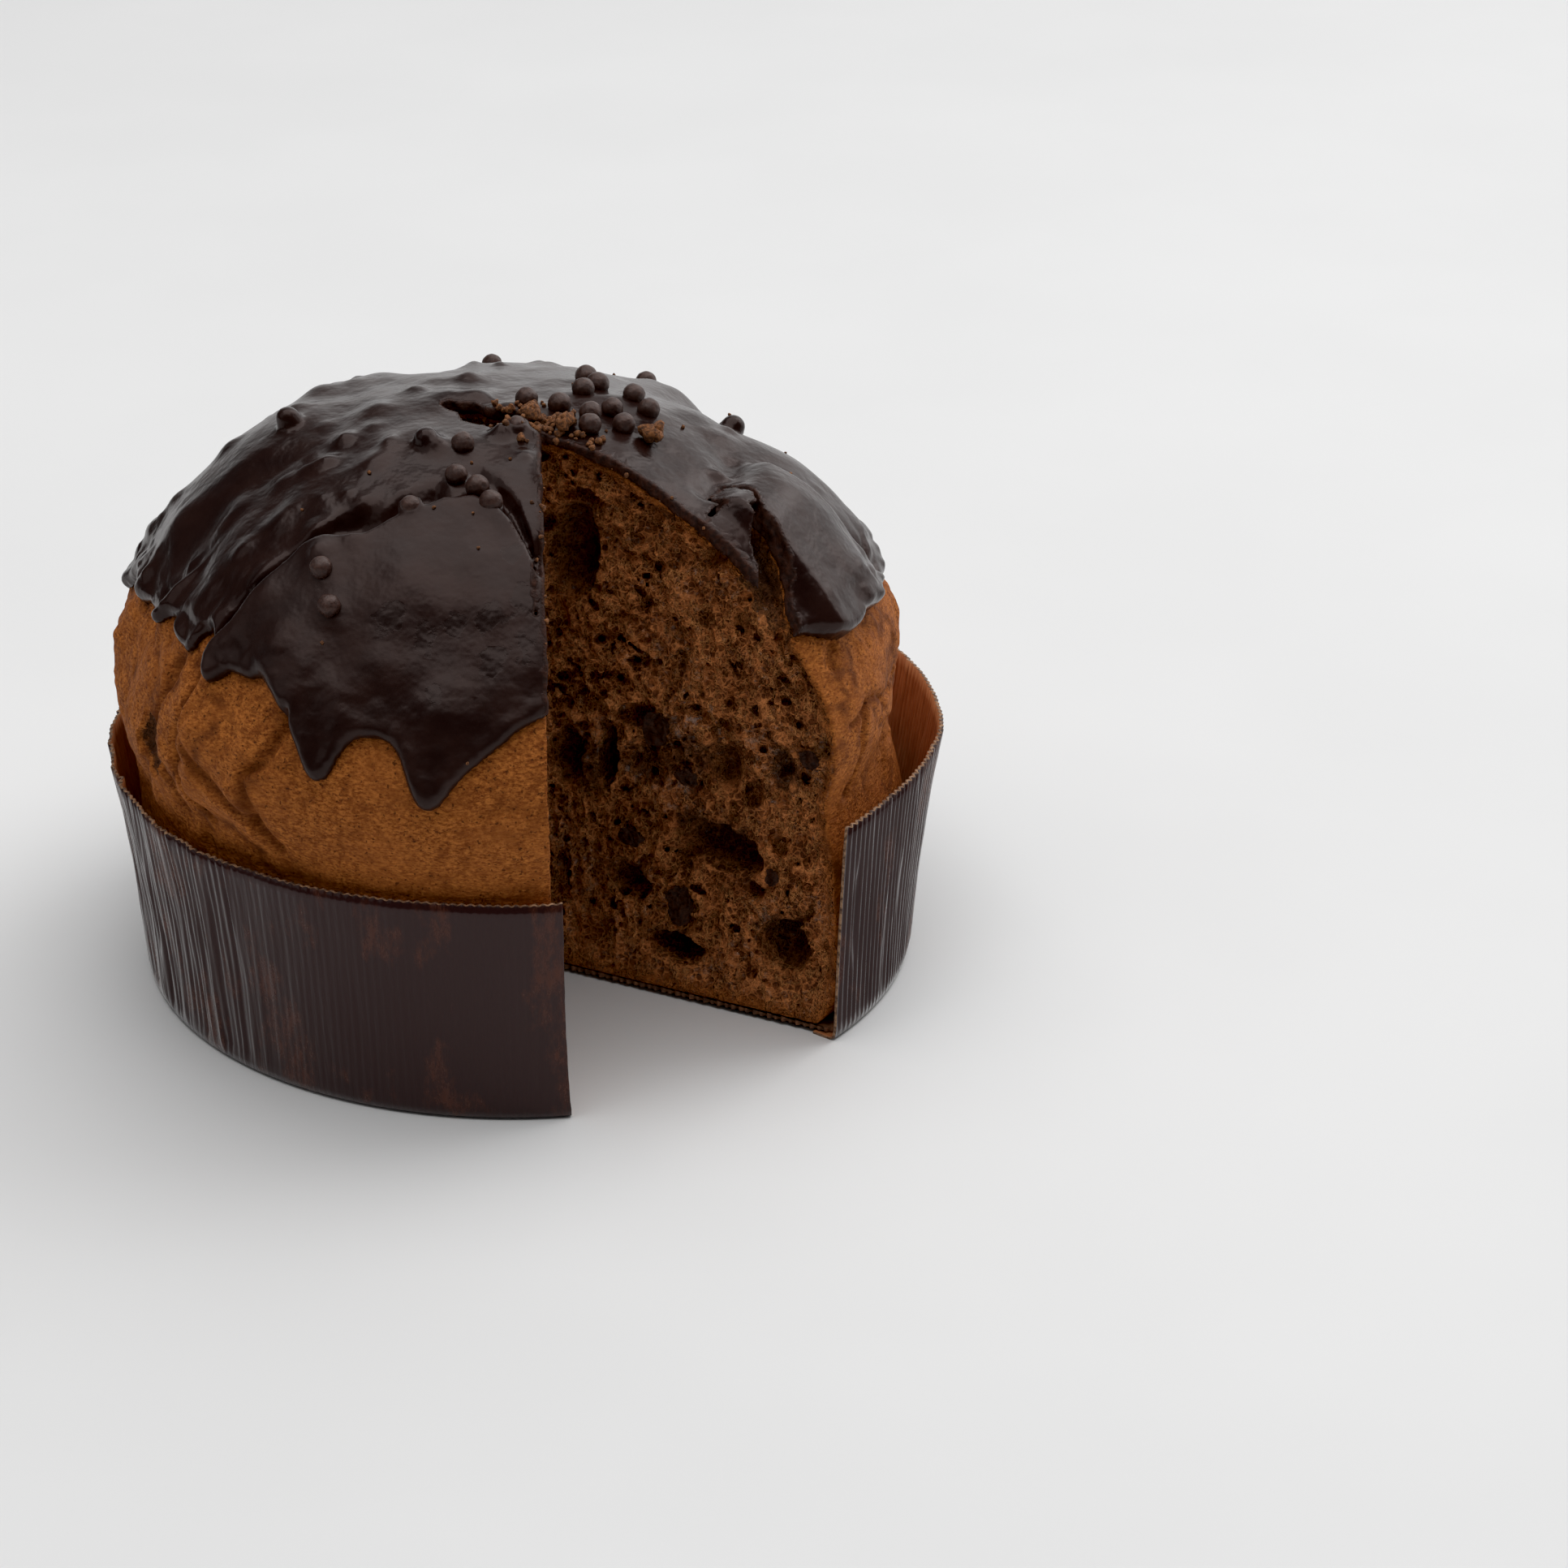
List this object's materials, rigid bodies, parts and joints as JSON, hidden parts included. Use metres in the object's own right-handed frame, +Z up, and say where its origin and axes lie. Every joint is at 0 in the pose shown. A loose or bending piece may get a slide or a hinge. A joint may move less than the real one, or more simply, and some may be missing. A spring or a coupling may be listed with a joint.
{
  "type": "cut panettone",
  "caption": "Low domed sweet loaf in a round paper case, coated in dark chocolate with crisp pearls, with one portion cut out to show the crumb.",
  "frame": {"origin": "on the table, under the middle of the whole object's box, about the axis of the paper case", "axes": "+Z up; the portion is cut out of the side that faces -Y, between bearings of about -86 and -27 degrees from +X, which is the side a viewer looks at"},
  "size_m": [0.2112, 0.2076, 0.1538],
  "materials": {
    "baked_dough": "matt golden-brown crust, moist amber crumb at the cuts",
    "baked_crumb": "matt",
    "dark_coating": "satin gloss set chocolate",
    "pearl_chocolate": "satin chocolate shell",
    "dark_chunk": "broken dark chocolate",
    "case_paper": "corrugated baking paper, dark brown print outside and tan inside",
    "base_paper": "corrugated baking board, tan"
  },
  "bodies": {
    "root": {"case_base": "base_paper", "case_wall": "case_paper", "chocolate_chunk_01": "dark_chunk", "chocolate_chunk_02": "dark_chunk", "chocolate_chunk_03": "dark_chunk", "chocolate_chunk_04": "dark_chunk", "chocolate_chunk_05": "dark_chunk", "chocolate_chunk_06": "dark_chunk", "chocolate_chunk_07": "dark_chunk", "chocolate_chunk_08": "dark_chunk", "chocolate_chunk_09": "dark_chunk", "chocolate_chunk_10": "dark_chunk", "chocolate_coating": "dark_coating", "crumb_1": "baked_crumb", "crumb_2": "baked_crumb", "crumb_3": "baked_crumb", "loaf": "baked_dough", "pearl_01": "pearl_chocolate", "pearl_02": "pearl_chocolate", "pearl_03": "pearl_chocolate", "pearl_04": "pearl_chocolate", "pearl_05": "pearl_chocolate", "pearl_06": "pearl_chocolate", "pearl_07": "pearl_chocolate", "pearl_08": "pearl_chocolate", "pearl_09": "pearl_chocolate", "pearl_10": "pearl_chocolate", "pearl_11": "pearl_chocolate", "pearl_12": "pearl_chocolate", "pearl_13": "pearl_chocolate", "pearl_14": "pearl_chocolate", "pearl_15": "pearl_chocolate", "pearl_16": "pearl_chocolate", "pearl_17": "pearl_chocolate", "pearl_18": "pearl_chocolate", "pearl_19": "pearl_chocolate", "pearl_20": "pearl_chocolate", "pearl_21": "pearl_chocolate", "pearl_22": "pearl_chocolate", "pearl_23": "pearl_chocolate", "pearl_24": "pearl_chocolate", "pearl_25": "pearl_chocolate", "pearl_26": "pearl_chocolate", "pearl_27": "pearl_chocolate", "pearl_28": "pearl_chocolate"}
  },
  "joints": []
}
